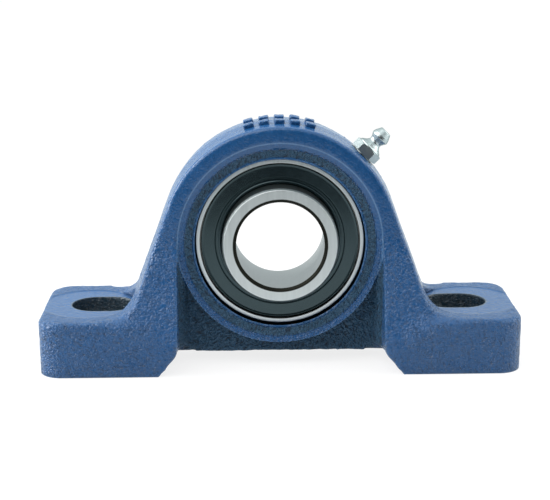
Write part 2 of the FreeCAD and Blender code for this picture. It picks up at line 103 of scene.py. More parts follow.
# %% Node helpers
def add_node(tree, kind, inputs=None, **settings):
    """New node whose inputs are numbers, colours or the sockets that feed them."""
    made = tree.nodes.new(kind)
    for key, value in settings.items():
        setattr(made, key, value)
    for key, value in (inputs or {}).items():
        if isinstance(value, bpy.types.NodeSocket):
            tree.links.new(value, made.inputs[key])
        else:
            made.inputs[key].default_value = value
    return made


def calc(tree, operation, *values):
    """Result of a Math node."""
    return add_node(tree, "ShaderNodeMath", dict(enumerate(values)), operation=operation).outputs[0]


def ranged(tree, value, start, end, low=0.0, high=1.0):
    """The value spread so that start becomes low and end becomes high, and held between them."""
    inputs = {"Value": value, "From Min": start, "From Max": end, "To Min": low, "To Max": high}
    return add_node(tree, "ShaderNodeMapRange", inputs).outputs[0]


def noise_at(tree, place, scale, detail, distortion=0.0, roughness=0.5):
    """Value of a noise texture."""
    inputs = {"Vector": place, "Scale": scale, "Detail": detail, "Distortion": distortion,
              "Roughness": roughness}
    return add_node(tree, "ShaderNodeTexNoise", inputs).outputs["Fac"]


def mixed(tree, mask, first, second):
    """Colour that runs with the mask from the first, a socket or a colour, to a second colour."""
    if not isinstance(first, bpy.types.NodeSocket):
        first = (*first, 1)
    inputs = {"Factor": mask, "A": first, "B": (*second, 1)}
    return add_node(tree, "ShaderNodeMix", inputs, data_type="RGBA").outputs["Result"]


# %% [markdown]
# ## Studio
#
# A sheet of white paper makes this kind of picture: white behind, white below, and soft lamps. The
# white that the camera sees comes from Light Path, at a strength of 1, and metal mirrors it too, a
# little cooler. What lights the object is a lower level, so the blue paint keeps its own colour.

# %% World
WORLD_LEVEL = 0.42
WORLD_TINT = (0.93, 0.96, 1.0, 1.0)
WHITE = (1.0, 1.0, 1.0)
MIRROR_TINT = (0.86, 0.96, 1.0)


def studio_white(tree, *others):
    """Mask of the rays that see plain white, and the white's tint: neutral for the camera alone."""
    rays = add_node(tree, "ShaderNodeLightPath").outputs
    seen = rays["Is Camera Ray"]
    for other in others:
        seen = calc(tree, "MAXIMUM", seen, rays[other])
    return seen, mixed(tree, rays["Is Camera Ray"], MIRROR_TINT, WHITE)


bpy.context.scene.view_settings.view_transform = "Standard"
world = bpy.data.worlds.new("studio")
world.use_nodes = True
bpy.context.scene.world = world
sky = world.node_tree
sky.nodes.clear()
seen, tint = studio_white(sky, "Is Glossy Ray", "Is Transmission Ray")
soft = add_node(sky, "ShaderNodeBackground", {"Color": WORLD_TINT, "Strength": WORLD_LEVEL})
white = add_node(sky, "ShaderNodeBackground", {"Color": tint, "Strength": 1.0})
both = add_node(sky, "ShaderNodeMixShader", {0: seen, 1: soft.outputs[0], 2: white.outputs[0]})
add_node(sky, "ShaderNodeOutputWorld", {"Surface": both.outputs[0]})

# %% [markdown]
# Four lamps stand round the object. The large one overhead gives most of the light, and is kept
# out of mirror images because it would turn the plated nipple plain white. The key lamp, high on
# the left, gives the glints on the grain, and two at the sides draw the edges of the arch.

# %% Lamps
def softbox(name, at, width, height, power, mirrored=True):
    """Rectangular lamp that points at the bore, with its power in watts."""
    lamp = bpy.data.objects.new(name, bpy.data.lights.new(name, "AREA"))
    lamp.data.shape = "RECTANGLE"
    lamp.data.size, lamp.data.size_y = width, height
    lamp.data.energy = power
    lamp.location = at
    lamp.rotation_mode = "QUATERNION"
    lamp.rotation_quaternion = (AXIS - Vector(at)).to_track_quat("-Z", "Y")
    lamp.visible_camera = False
    lamp.visible_glossy = mirrored
    bpy.context.scene.collection.objects.link(lamp)


softbox("overhead", (0.0, 0.25, 0.75), 2.0, 1.4, 15.5, mirrored=False)
softbox("key", (-0.42, -0.38, 0.76), 0.85, 0.85, 4.4)
softbox("left_edge", (-0.75, 0.10, 0.30), 0.55, 0.80, 8.0)
softbox("right_edge", (0.75, 0.10, 0.30), 0.55, 0.80, 2.8)

# %% [markdown]
# A dark table lies on the paper from 20 cm in front of the object on, and a dark wall stands behind
# the camera's place. The camera itself doesn't see them, but upright faces mirror them: the upper
# half of the steel ring and of the seal goes dark, the lower half stays bright, and every grain of
# the paint that leans back catches a lamp.

# %% Paper, table and wall
PAPER_COLOUR = (0.9, 0.9, 0.9, 1)
PAPER_GLOW = 1.02
SHADOW_NEAR, SHADOW_FAR, GLOW_NEAR = 0.12, 0.225, 0.8
TABLE_COLOUR = (0.035, 0.04, 0.045, 1)
PAPER_SIZE, TABLE_WIDTH, TABLE_DEPTH, WALL_HEIGHT = 4.0, 2.4, 1.0, 1.2
PAPER_EDGE_Y = -0.225
TABLE_LIFT = 0.001


def stage_sheet(name, centre, size_x, size_y, material, lean=0.0, shown=True):
    """Flat rectangle of the studio; lean turns it up about X, in degrees."""
    bm = bmesh.new()
    bmesh.ops.create_grid(bm, x_segments=1, y_segments=1, size=0.5)
    bmesh.ops.scale(bm, vec=(size_x, size_y, 1.0), verts=bm.verts)
    tilt = Matrix.Rotation(math.radians(lean), 3, "X")
    bmesh.ops.rotate(bm, cent=(0, 0, 0), matrix=tilt, verts=bm.verts)
    bmesh.ops.translate(bm, vec=centre, verts=bm.verts)
    mesh = bpy.data.meshes.new(name)
    bm.to_mesh(mesh)
    bm.free()
    mesh.materials.append(material)
    sheet = bpy.data.objects.new(name, mesh)
    bpy.context.scene.collection.objects.link(sheet)
    sheet.visible_camera = shown


paper = bpy.data.materials.new("studio_paper")
paper.use_nodes = True
tree = paper.node_tree
tree.nodes.clear()
share, tint = studio_white(tree, "Is Glossy Ray")
spot = add_node(tree, "ShaderNodeTexCoord").outputs["Object"]
away = add_node(tree, "ShaderNodeVectorMath", {0: spot}, operation="LENGTH").outputs["Value"]
share = calc(tree, "MULTIPLY", share, ranged(tree, away, SHADOW_NEAR, SHADOW_FAR, GLOW_NEAR, 1.0))
matt = add_node(tree, "ShaderNodeBsdfDiffuse", {"Color": PAPER_COLOUR})
glow = add_node(tree, "ShaderNodeEmission", {"Color": tint, "Strength": PAPER_GLOW})
both = add_node(tree, "ShaderNodeMixShader", {0: share, 1: matt.outputs[0], 2: glow.outputs[0]})
add_node(tree, "ShaderNodeOutputMaterial", {"Surface": both.outputs[0]})

table = bpy.data.materials.new("dark_table")
table.use_nodes = True
table.node_tree.nodes.clear()
matt = add_node(table.node_tree, "ShaderNodeBsdfDiffuse", {"Color": TABLE_COLOUR})
add_node(table.node_tree, "ShaderNodeOutputMaterial", {"Surface": matt.outputs[0]})

stage_sheet("floor", (0, 0, 0), PAPER_SIZE, PAPER_SIZE, paper)
stage_sheet("table_in_front", (0, PAPER_EDGE_Y - TABLE_DEPTH / 2, TABLE_LIFT), TABLE_WIDTH,
            TABLE_DEPTH, table, shown=False)
stage_sheet("wall_in_front", (0, PAPER_EDGE_Y - TABLE_DEPTH, WALL_HEIGHT / 2), TABLE_WIDTH,
            WALL_HEIGHT, table, lean=90.0, shown=False)

# %% [markdown]
# ## Effects that several finishes share
#
# A node group is a small program with named inputs and outputs. Two are made here: the grain of a
# casting under paint, and the fine lines that a grinding wheel or a lathe leaves round a steel
# ring. A group hands out heights and masks only, and the shader stays in each material.

# %% Node group helpers
def new_group(name, inputs, outputs):
    """Empty group with its inputs and outputs; inputs are given with their usual values."""
    tree = bpy.data.node_groups.new(name, "ShaderNodeTree")
    for label, value in inputs.items():
        socket = tree.interface.new_socket(label, in_out="INPUT", socket_type="NodeSocketFloat")
        socket.default_value = value
    for label in outputs:
        tree.interface.new_socket(label, in_out="OUTPUT", socket_type="NodeSocketFloat")
    return tree, tree.nodes.new("NodeGroupInput").outputs, tree.nodes.new("NodeGroupOutput").inputs


def use_group(tree, group, values):
    """Outputs of a group that is used in another tree."""
    made = tree.nodes.new("ShaderNodeGroup")
    made.node_tree = group
    for key, value in values.items():
        made.inputs[key].default_value = value
    return made.outputs


# %% Bore coordinates and outputs
def bore_polar(tree):
    """Object coordinates, distance from the bore axis, angle about it and depth along it."""
    place = add_node(tree, "ShaderNodeTexCoord").outputs["Object"]
    centred = add_node(tree, "ShaderNodeMapping", {"Vector": place, "Location": -AXIS})
    parts = add_node(tree, "ShaderNodeSeparateXYZ", {0: centred.outputs[0]}).outputs
    squares = [calc(tree, "MULTIPLY", parts[k], parts[k]) for k in ("X", "Z")]
    radius = calc(tree, "SQRT", calc(tree, "ADD", *squares))
    return place, radius, calc(tree, "ARCTAN2", parts["Z"], parts["X"]), parts["Y"]


def hand_out(group, result, sockets):
    """Feed the outputs of a group."""
    for label, socket in sockets.items():
        group.links.new(socket, result[label])


# %% [markdown]
# The grain has six outputs. Height is orange peel with finer grit on it, Mottle a slow change of
# tone, Specks a few round chips, Creases thin folds that come in patches, Pits a texture that runs
# outwards from the bore, and Rim Highlight a thin line round the boss, which the paint turns into a
# painted highlight.

# %% Cast grain
GRAIN_INPUTS = {"Swell Scale": 60.0, "Peel Scale": 420.0, "Grit Scale": 1500.0, "Grit": 0.3,
                "Crease Scale": 800.0}
PEEL_BEND, GRIT_BEND, CREASE_BEND = 0.6, 0.4, 0.7
MOTTLE_RANGE, SPECK_RANGE = (0.7, 1.3), (0.07, 0.03)
CREASE_RANGE, PATCH_RANGE = (0.09, 0.01), (0.35, 0.6, 0.3)
PIT_SCALE, PIT_ROUGHNESS, PIT_RANGE = 1250.0, 0.6, (0.56, 0.68)
PIT_OUTWARDS, PIT_AROUND = 0.4, 0.034
RIM_RADIUS, RIM_DEPTH, RIM_RANGE = 0.035, 0.0116, (0.0001, 0.00035)

grain_group, given, result = new_group("cast_grain", GRAIN_INPUTS,
                                       ["Height", "Mottle", "Specks", "Creases", "Pits", "Rim Highlight"])
place, radius, angle, depth = bore_polar(grain_group)
swell = noise_at(grain_group, place, given["Swell Scale"], 3.0)
peel = noise_at(grain_group, place, given["Peel Scale"], 1.0, PEEL_BEND)
grit = noise_at(grain_group, place, given["Grit Scale"], 0.0, GRIT_BEND)
height = calc(grain_group, "ADD", peel, calc(grain_group, "MULTIPLY", grit, given["Grit"]))
mottle = ranged(grain_group, calc(grain_group, "ADD", swell, peel), *MOTTLE_RANGE)
spots = add_node(grain_group, "ShaderNodeTexVoronoi", {"Vector": place, "Scale": given["Swell Scale"]})
specks = ranged(grain_group, spots.outputs["Distance"], *SPECK_RANGE)

worms = noise_at(grain_group, place, given["Crease Scale"], 0.0, CREASE_BEND)
fold = calc(grain_group, "ABSOLUTE", calc(grain_group, "SUBTRACT", worms, 0.5))
creases = calc(grain_group, "MULTIPLY", ranged(grain_group, fold, *CREASE_RANGE),
               ranged(grain_group, swell, *PATCH_RANGE))

outwards = calc(grain_group, "MULTIPLY", radius, PIT_OUTWARDS)
slanted = calc(grain_group, "ADD", calc(grain_group, "MULTIPLY", angle, PIT_AROUND), outwards)
unrolled = add_node(grain_group, "ShaderNodeCombineXYZ", {"X": outwards, "Y": slanted, "Z": depth})
streaks = noise_at(grain_group, unrolled.outputs[0], PIT_SCALE, 3.0, roughness=PIT_ROUGHNESS)

# Rim Highlight: a thin line at the radius of the boss edge, on its faces only, used by the paint as a painted
# highlight.
off = calc(grain_group, "ABSOLUTE", calc(grain_group, "SUBTRACT", radius, RIM_RADIUS))
face = calc(grain_group, "GREATER_THAN", calc(grain_group, "ABSOLUTE", depth), RIM_DEPTH)
rim_highlight = calc(grain_group, "MULTIPLY", ranged(grain_group, off, *RIM_RANGE, 1.0, 0.0), face)
hand_out(grain_group, result, {"Height": height, "Mottle": mottle, "Specks": specks, "Creases": creases,
                               "Pits": ranged(grain_group, streaks, *PIT_RANGE), "Rim Highlight": rim_highlight})

# %% [markdown]
# Turned steel needs one noise that follows the distance from the bore axis and hardly changes with
# the angle. The other outputs are streaks and masks: the bore and the outside of the sleeve, where
# the steel gets painted shade, the bore's near end, and the bands beside the bright face of the
# outer ring, which are made near black for dirt and painted shade.

# %% Turned lines
BORE_TOP_RADIUS, BORE_BLUR, BORE_END_DEPTH = 0.0161, 0.0002, 0.0131
FACE_IN, FACE_OUT, FACE_BLUR = 0.02755, 0.02880, 0.00012
COLLAR_RADIUS = 0.01935
LINE_AROUND = 0.004
HATCH_TURN, HATCH_SCALE = (0.0, math.radians(35.0), 0.0), (1.0, 1.0, 0.06)

turned_group, given, result = new_group("turned_lines", {"Line Scale": 3000.0, "Hatch Scale": 900.0},
                                        ["Height", "Streak", "Bore", "Break", "Beside Face", "Collar"])
place, radius, angle, depth = bore_polar(turned_group)
along = calc(turned_group, "MULTIPLY", angle, LINE_AROUND)
unrolled = add_node(turned_group, "ShaderNodeCombineXYZ", {"X": radius, "Y": along, "Z": depth})
lines = noise_at(turned_group, unrolled.outputs[0], given["Line Scale"], 2.0)
slant = add_node(turned_group, "ShaderNodeMapping",
                 {"Vector": place, "Rotation": HATCH_TURN, "Scale": HATCH_SCALE})
hatch = noise_at(turned_group, slant.outputs[0], given["Hatch Scale"], 3.0)
inside = ranged(turned_group, radius, BORE_TOP_RADIUS + BORE_BLUR, BORE_TOP_RADIUS)
near_end = calc(turned_group, "LESS_THAN", depth, -BORE_END_DEPTH)
below = ranged(turned_group, radius, FACE_IN + FACE_BLUR, FACE_IN - FACE_BLUR)
above = ranged(turned_group, radius, FACE_OUT - FACE_BLUR, FACE_OUT + FACE_BLUR)
collar = ranged(turned_group, radius, COLLAR_RADIUS - FACE_BLUR, COLLAR_RADIUS + FACE_BLUR)
hand_out(turned_group, result, {"Height": lines, "Streak": hatch, "Bore": inside, "Collar": collar,
                                "Break": calc(turned_group, "MULTIPLY", inside, near_end),
                                "Beside Face": calc(turned_group, "MAXIMUM", below, above)})


# %% [markdown]
# ## Finishes
#
# The paint is a sprayed machine enamel: mid blue and glossy. Edges and a thin line round the boss
# get a paler colour, which is a painted highlight, and hollows, creases and pits a darker one, which
# is painted shade. Its colour varies with the grain. Three values on each vertex, worked out on the
# casting itself, say where the surface is an edge or a hollow, where it is rough, and where the
# colour is darkened: on the walls of the slots, and round the foot of the nipple as painted shadow.

# %% A material with its shader
def new_material(name, **constants):
    """Material with a Principled shader; each constant is set on the shader's own socket."""
    made = bpy.data.materials.new(name)
    made.use_nodes = True
    tree = made.node_tree
    tree.nodes.clear()
    shader = tree.nodes.new("ShaderNodeBsdfPrincipled")
    for key, value in constants.items():
        shader.inputs[key.replace("_", " ")].default_value = value
    add_node(tree, "ShaderNodeOutputMaterial", {"Surface": shader.outputs[0]})
    return made, tree, shader


def bumped(tree, shader, height, depth_mm, strength=1.0):
    """Small relief of the surface, depth_mm high where the height runs from 0 to 1."""
    inputs = {"Height": height, "Strength": strength, "Distance": depth_mm * MM}
    tree.links.new(add_node(tree, "ShaderNodeBump", inputs).outputs[0], shader.inputs["Normal"])


# %% Blue enamel on cast iron
PAINT_DARK = (0.010, 0.064, 0.182)
PAINT_LIGHT = (0.015, 0.079, 0.214)
PAINT_DULL = (0.015, 0.064, 0.124)
# Painted shade: the darker colour of hollows, creases and pits.
PAINTED_HOLLOW_SHADE = (0.007, 0.024, 0.055)
# Painted highlight: the paler colour of the edges and of the line round the boss.
PAINTED_EDGE_HIGHLIGHT = (0.085, 0.185, 0.340)
CHIP = (0.10, 0.045, 0.03)
# Darker colour of the slot walls, and painted shadow round the foot of the nipple.
DARK_SLOTS_AND_SHADOW = (0.016, 0.038, 0.058)
PAINT_GRAIN = {"Swell Scale": 55.0, "Peel Scale": 620.0, "Grit Scale": 1350.0, "Grit": 0.9}
HOLLOW_RANGE, EDGE_RANGE, DULL_RANGE = (0.53, 0.72), (0.47, 0.30), (0.5, 0.9)
RIM_HIGHLIGHT_SHARE, CREASE_SHADE = 0.75, 0.12
GLOSS_RANGE, DULL_ROUGHNESS = (0.12, 0.24), 0.35
ROUGH_BUMP = (0.0, 0.6, 0.30, 2.5)
CREASE_DEPTH, PIT_DEPTH, PAINT_BUMP_MM = 0.22, 1.8, 0.40

paint, tree, shader = new_material("blue_enamel")
grain = use_group(tree, grain_group, PAINT_GRAIN)
# The third value marks the slot walls, which are darker, and the foot of the nipple, where shadow is painted.
shape, rough, dark_slots_and_shadow = [add_node(tree, "ShaderNodeAttribute", attribute_name=name).outputs["Fac"]
                       for name in ("hollow", "rough", "dark_slots_and_shadow")]
# Painted shade: hollows, creases and pits take the darker colour.
deep = ranged(tree, shape, *HOLLOW_RANGE)
edge = ranged(tree, shape, *EDGE_RANGE)
dull = ranged(tree, rough, *DULL_RANGE)
pits = calc(tree, "MULTIPLY", grain["Pits"], rough)
# Painted highlight: convex edges and the thin line round the boss take the paler colour.
lines = calc(tree, "MAXIMUM", calc(tree, "MULTIPLY", grain["Rim Highlight"], RIM_HIGHLIGHT_SHARE), edge)
chips = calc(tree, "MULTIPLY", grain["Specks"], edge)
shade = calc(tree, "MULTIPLY", grain["Creases"], CREASE_SHADE)
colour = mixed(tree, grain["Mottle"], PAINT_DARK, PAINT_LIGHT)
for mask, tone in ((dull, PAINT_DULL), (shade, PAINTED_HOLLOW_SHADE), (pits, PAINTED_HOLLOW_SHADE),
                   (deep, PAINTED_HOLLOW_SHADE), (lines, PAINTED_EDGE_HIGHLIGHT), (chips, CHIP), (dark_slots_and_shadow, DARK_SLOTS_AND_SHADOW)):
    colour = mixed(tree, mask, colour, tone)
tree.links.new(colour, shader.inputs["Base Color"])
plain = ranged(tree, grain["Mottle"], 0.0, 1.0, *GLOSS_RANGE)
tree.links.new(calc(tree, "MULTIPLY_ADD", dull, DULL_ROUGHNESS, plain), shader.inputs["Roughness"])
creased = calc(tree, "MULTIPLY_ADD", grain["Creases"], -CREASE_DEPTH, grain["Height"])
grown = calc(tree, "MULTIPLY", creased, ranged(tree, rough, *ROUGH_BUMP))
bumped(tree, shader, calc(tree, "MULTIPLY_ADD", pits, -PIT_DEPTH, grown), PAINT_BUMP_MM)

# %% [markdown]
# Steel is the same shader with another base: metallic, with a colour and a roughness that follow
# the streaks, and a bump that follows the turned lines. Ground, pressed, polished and plated metal
# differ only in their numbers. The rubber is nearly black and shines where grease has wetted it.

# %% Steel, zinc and rubber
# Near black: dirt and painted shade beside the bright face of the outer ring, and the near end of the bore.
NEAR_BLACK = (0.020, 0.020, 0.016)
# Painted shade in the bore, and on the outside of the sleeve in its gap behind the seal.
BORE_PAINTED_SHADE, COLLAR_PAINTED_SHADE = (0.42, 0.43, 0.42), (0.16, 0.18, 0.18)
ZINC_TINT = (0.30, 0.34, 0.34, 1.0)
STEEL_BUMP, RUBBER_BUMP, RUBBER_BUMP_MM = 0.6, 0.3, 0.012
RUBBER_GRAIN = {"Swell Scale": 90.0, "Peel Scale": 900.0, "Grit Scale": 3200.0, "Grit": 0.4}
RUBBER_DARK, RUBBER_LIGHT = (0.003, 0.008, 0.010), (0.008, 0.017, 0.020)
RUBBER_GLOSS = (0.16, 0.24)


def varied(tree, shader, mask, low, high, rough):
    """Colour and roughness that follow the mask; the colour is handed on, to be mixed further."""
    tree.links.new(ranged(tree, mask, 0.0, 1.0, *rough), shader.inputs["Roughness"])
    return mixed(tree, mask, low, high)


def steel(name, low, high, rough, line_scale, depth_mm, tones=()):
    """Metal whose colour, roughness and bump follow the lines; tones are (mask, colour)."""
    made, tree, shader = new_material(name, Metallic=1.0)
    lines = use_group(tree, turned_group, {"Line Scale": line_scale, "Hatch Scale": line_scale / 3})
    colour = varied(tree, shader, lines["Streak"], low, high, rough)
    for mask, tone in tones:
        colour = mixed(tree, lines[mask], colour, tone)
    tree.links.new(colour, shader.inputs["Base Color"])
    bumped(tree, shader, lines["Height"], depth_mm, STEEL_BUMP)
    return made


# Ground ring: painted shade in the bore and on the outside of the sleeve; near black at the bore's near end.
ring_steel = steel("ground_ring_steel", (0.60, 0.62, 0.61), (0.76, 0.78, 0.77), (0.42, 0.58),
                   2600.0, 0.02, (("Bore", BORE_PAINTED_SHADE), ("Break", NEAR_BLACK), ("Collar", COLLAR_PAINTED_SHADE)))
# Bright face: the bands beside it are near black, for dirt and painted shade in the gaps to the housing and to the
# seal.
face_steel = steel("bright_face_steel", (0.62, 0.65, 0.65), (0.92, 0.93, 0.93), (0.32, 0.50),
                   2600.0, 0.02, (("Beside Face", NEAR_BLACK),))
ball_steel = steel("polished_ball_steel", (0.70, 0.71, 0.72), (0.78, 0.79, 0.80), (0.06, 0.12),
                   900.0, 0.002)
sheet_steel = steel("pressed_sheet_steel", (0.42, 0.42, 0.40), (0.60, 0.60, 0.58), (0.30, 0.48),
                    1400.0, 0.01)
wire_steel = steel("drawn_spring_wire", (0.48, 0.48, 0.47), (0.66, 0.66, 0.65), (0.20, 0.34),
                   4000.0, 0.004)
zinc = steel("bright_zinc_plate", (0.48, 0.54, 0.53), (0.66, 0.71, 0.70), (0.30, 0.42),
             1500.0, 0.012)
zinc.node_tree.nodes["Principled BSDF"].inputs["Specular Tint"].default_value = ZINC_TINT

rubber, tree, shader = new_material("moulded_seal_rubber", Specular_IOR_Level=0.8,
                                     Specular_Tint=(0.72, 0.95, 1.0, 1.0))
skin = use_group(tree, grain_group, RUBBER_GRAIN)
colour = varied(tree, shader, skin["Mottle"], RUBBER_DARK, RUBBER_LIGHT, RUBBER_GLOSS)
tree.links.new(colour, shader.inputs["Base Color"])
bumped(tree, shader, skin["Height"], RUBBER_BUMP_MM, RUBBER_BUMP)


# %% [markdown]
# ## From mesh to piece
#
# Every new piece ends the same way: normals made to point outwards, edges sharper than a limit
# kept crisp, a material, and the CAD body that it rides on. A helper does this once.

# %% Finishing a piece
SHARP_ANGLE = math.radians(38.0)


def finish_piece(name, bm, body, material, replaced=()):
    """Object from the bmesh, with its look; attached to no body when body is empty."""
    bmesh.ops.recalc_face_normals(bm, faces=bm.faces)
    mesh = bpy.data.meshes.new(name)
    bm.to_mesh(mesh)
    bm.free()
    mesh.shade_smooth()
    mesh.set_sharp_from_angle(angle=SHARP_ANGLE)
    mesh.materials.append(material)
    piece = bpy.data.objects.new(name, mesh)
    bpy.context.scene.collection.objects.link(piece)
    if body:
        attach(piece, body)
    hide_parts(*replaced)
    triangles = sum(len(p.vertices) - 2 for p in mesh.polygons)
    print(name, len(mesh.vertices), "vertices", triangles, "triangles")
    return piece


def relax(bm, verts, steps):
    """Move the vertices halfway towards their neighbours, several times over."""
    for _ in range(steps):
        bmesh.ops.smooth_vert(bm, verts=verts, factor=0.5, use_axis_x=True, use_axis_y=True,
                              use_axis_z=True)


# %% [markdown]
# ## The casting
#
# The real housing is poured in a sand mould. Its skin is never flat: soft swells, orange peel and
# small bumps show under the paint, and every edge that is not machined is round. Modelling that by
# hand would take days, so the CAD solid is remeshed into small even faces, the cast edges are
# relaxed, and noise moves each point along its normal. Machined places, such as the seat, the
# spot faces and the underside, are kept out of it by a mask.

# %% Remesh a merged copy of the CAD housing
REMESH_DEPTH = 8
REMESH_SCALE = 0.97
SAME_POINT = 1e-7


def remeshed_copy(source, depth, scale):
    """The mesh of a CAD node, cut anew into small even faces."""
    bm = bmesh.new()
    bm.from_mesh(source.data)
    bmesh.ops.remove_doubles(bm, verts=bm.verts, dist=SAME_POINT)
    mesh = bpy.data.meshes.new("casting_copy")
    bm.to_mesh(mesh)
    bm.free()
    copy = bpy.data.objects.new("casting_copy", mesh)
    bpy.context.scene.collection.objects.link(copy)
    remesh = copy.modifiers.new("even_faces", "REMESH")
    remesh.mode = "SHARP"
    remesh.octree_depth = depth
    remesh.scale = scale
    evaluated = copy.evaluated_get(bpy.context.evaluated_depsgraph_get())
    bm = bmesh.new()
    bm.from_mesh(evaluated.to_mesh())
    evaluated.to_mesh_clear()
    bpy.data.objects.remove(copy)
    bpy.data.meshes.remove(mesh)
    return bm


casting = remeshed_copy(nodes["housing"], REMESH_DEPTH - (0), REMESH_SCALE)
print("casting", len(casting.verts), "vertices")

# %% [markdown]
# A mask decides where the foundry's skin ends. The seat and its ring, the two spot faces, the flat
# under the nipple and the underside were cut by tools after casting: they stay smooth and keep
# their crisp edges. Everything else is relaxed, which rounds the edges as sand does.

# %% Mask of the cast skin
SPOT_TOP, SPOT_REACH = mm(18.9, 0.25)
SPOT_CENTRE_X = 67.0 * MM
SPOT_RADIUS, SPOT_FADE_IN, SPOT_FADE_OUT = mm(16.5, 0.2, 0.6)
SEAT_RIM_RADIUS, SEAT_FADE = mm(29.7, 0.5)
UNDERSIDE_FADE = mm(0.1, 0.8)
NIPPLE_FLAT_RADIUS, NIPPLE_FADE, NIPPLE_REACH = mm(6.2, 0.8, 14.0)
RELAX_STEPS = 3


def from_axis(co):
    """Distance from the bore axis."""
    return math.hypot(co.x - AXIS.x, co.z - AXIS.z)


def from_nipple(co):
    """Distance from the nipple's own axis, without end for a point far below its flat."""
    away = co - NIPPLE_TIP
    along = away.dot(NIPPLE_DIR)
    return (away - along * NIPPLE_DIR).length if along > -NIPPLE_REACH else math.inf


def smooth_share(value, low, high):
    """0 below low, 1 above high, with a soft step between them."""
    t = min(max((value - low) / (high - low), 0.0), 1.0)
    return t * t * (3.0 - 2.0 * t)


def cast_share(co):
    """1 on the raw casting, 0 on a machined face."""
    share = smooth_share(from_axis(co), SEAT_RIM_RADIUS, SEAT_RIM_RADIUS + SEAT_FADE)
    share = min(share, smooth_share(co.z, *UNDERSIDE_FADE))
    if abs(co.z - SPOT_TOP) < SPOT_REACH:
        in_spot = math.hypot(abs(co.x) - SPOT_CENTRE_X, co.y)
        share = min(share, smooth_share(in_spot, SPOT_RADIUS - SPOT_FADE_IN, SPOT_RADIUS + SPOT_FADE_OUT))
    beside = smooth_share(from_nipple(co), NIPPLE_FLAT_RADIUS, NIPPLE_FLAT_RADIUS + NIPPLE_FADE)
    return min(share, beside)


# %% Relax the cast edges
skin = [v for v in casting.verts if cast_share(v.co) > 0.5]
relax(casting, skin, RELAX_STEPS)
print("cast skin", len(skin), "of", len(casting.verts), "vertices")

# %% [markdown]
# Where a leg runs out into its foot, the pattern maker fills the corner with wax. The same corner
# here is an arc in the CAD, so the points near that arc are relaxed many more times.

# %% Blend the legs into the feet
HAUNCH = [Vector((57.0, 19.1)) * MM, Vector((44.0, 14.8)) * MM, Vector((36.5, 5.5)) * MM]
HAUNCH_REACH, HAUNCH_DEPTH = mm(4.0, 16.0)
HAUNCH_STEPS = 45
CORNER_X_LOW, CORNER_X_HIGH, CORNER_DEPTH, CORNER_TOP = mm(31.0, 36.5, 10.5, 42.0)
CORNER_STEPS = 14


def from_haunch(co):
    """Distance from the arc under the leg, seen along the bore."""
    spot = Vector((abs(co.x), co.z))
    found = []
    for start, end in zip(HAUNCH, HAUNCH[1:]):
        run = end - start
        share = min(max((spot - start).dot(run) / run.length_squared, 0.0), 1.0)
        found.append((spot - start - share * run).length)
    return min(found)


def in_pocket_corner(co):
    """Corner between a pocket wall and the web, and the top of the pocket."""
    return CORNER_X_LOW < abs(co.x) < CORNER_X_HIGH and abs(co.y) < CORNER_DEPTH and co.z < CORNER_TOP


haunch = [v for v in skin if abs(v.co.y) > HAUNCH_DEPTH and from_haunch(v.co) < HAUNCH_REACH]
relax(casting, haunch, HAUNCH_STEPS)
relax(casting, [v for v in skin if in_pocket_corner(v.co)], CORNER_STEPS)

# %% [markdown]
# A pattern leaves the sand only if its deep walls lean. The pocket walls beside the web get that
# lean here: a point moves towards the middle the deeper it lies, and its neighbours follow less.
# Then the corner between web and leg is filled at the top of each pocket.

# %% Lean the pocket walls
WALL_X, WALL_BEHIND, WALL_BEFORE = mm(35.3, 0.4, 0.6)
WALL_LEAN, WALL_REACH = mm(3.2, 7.5)
POCKET_TOP, POCKET_FADE = mm(44.0, 8.0)
BOSS_CLEAR = mm(35.0, 36.0)
WEB_DEPTH, LEG_DEPTH = mm(6.5, 15.0)
FILL_RADIUS, FILL_DEPTH = mm(34.9, 12.1)
FILL_START, FILL_END = mm(21.0, 34.0), mm(39.0, 41.0)

for v in skin:
    across, back = abs(v.co.x), abs(v.co.y)
    if across < WALL_X + WALL_BEHIND:
        inward = smooth_share(across, WALL_X - WALL_REACH, WALL_X - WALL_BEFORE)
        deep = 1.0 - smooth_share(back, WEB_DEPTH, LEG_DEPTH)
        below = 1.0 - smooth_share(v.co.z, POCKET_TOP - POCKET_FADE, POCKET_TOP)
        outside_boss = smooth_share(from_axis(v.co), *BOSS_CLEAR)
        v.co.x -= math.copysign(WALL_LEAN * inward * deep * below * outside_boss, v.co.x)
    if from_axis(v.co) > FILL_RADIUS and abs(v.co.x) < WALL_X and WEB_DEPTH - MM < back < FILL_DEPTH:
        fill = smooth_share(v.co.z, *FILL_START) * (1.0 - smooth_share(v.co.z, *FILL_END))
        v.co.y += math.copysign((FILL_DEPTH - back) * fill, v.co.y)

# %% [markdown]
# Three noises give the skin its relief. A slow one bends the faces, a middle one is the orange
# peel that the lamps pick out, and a ridged one makes the folds and pits of rough places: the
# ring round the seat, the walls of the pockets and the web between the legs, where the sand was
# hard to ram. The feet and the lower legs have less of them. A few small bumps stand where grains
# of sand broke out of the mould.

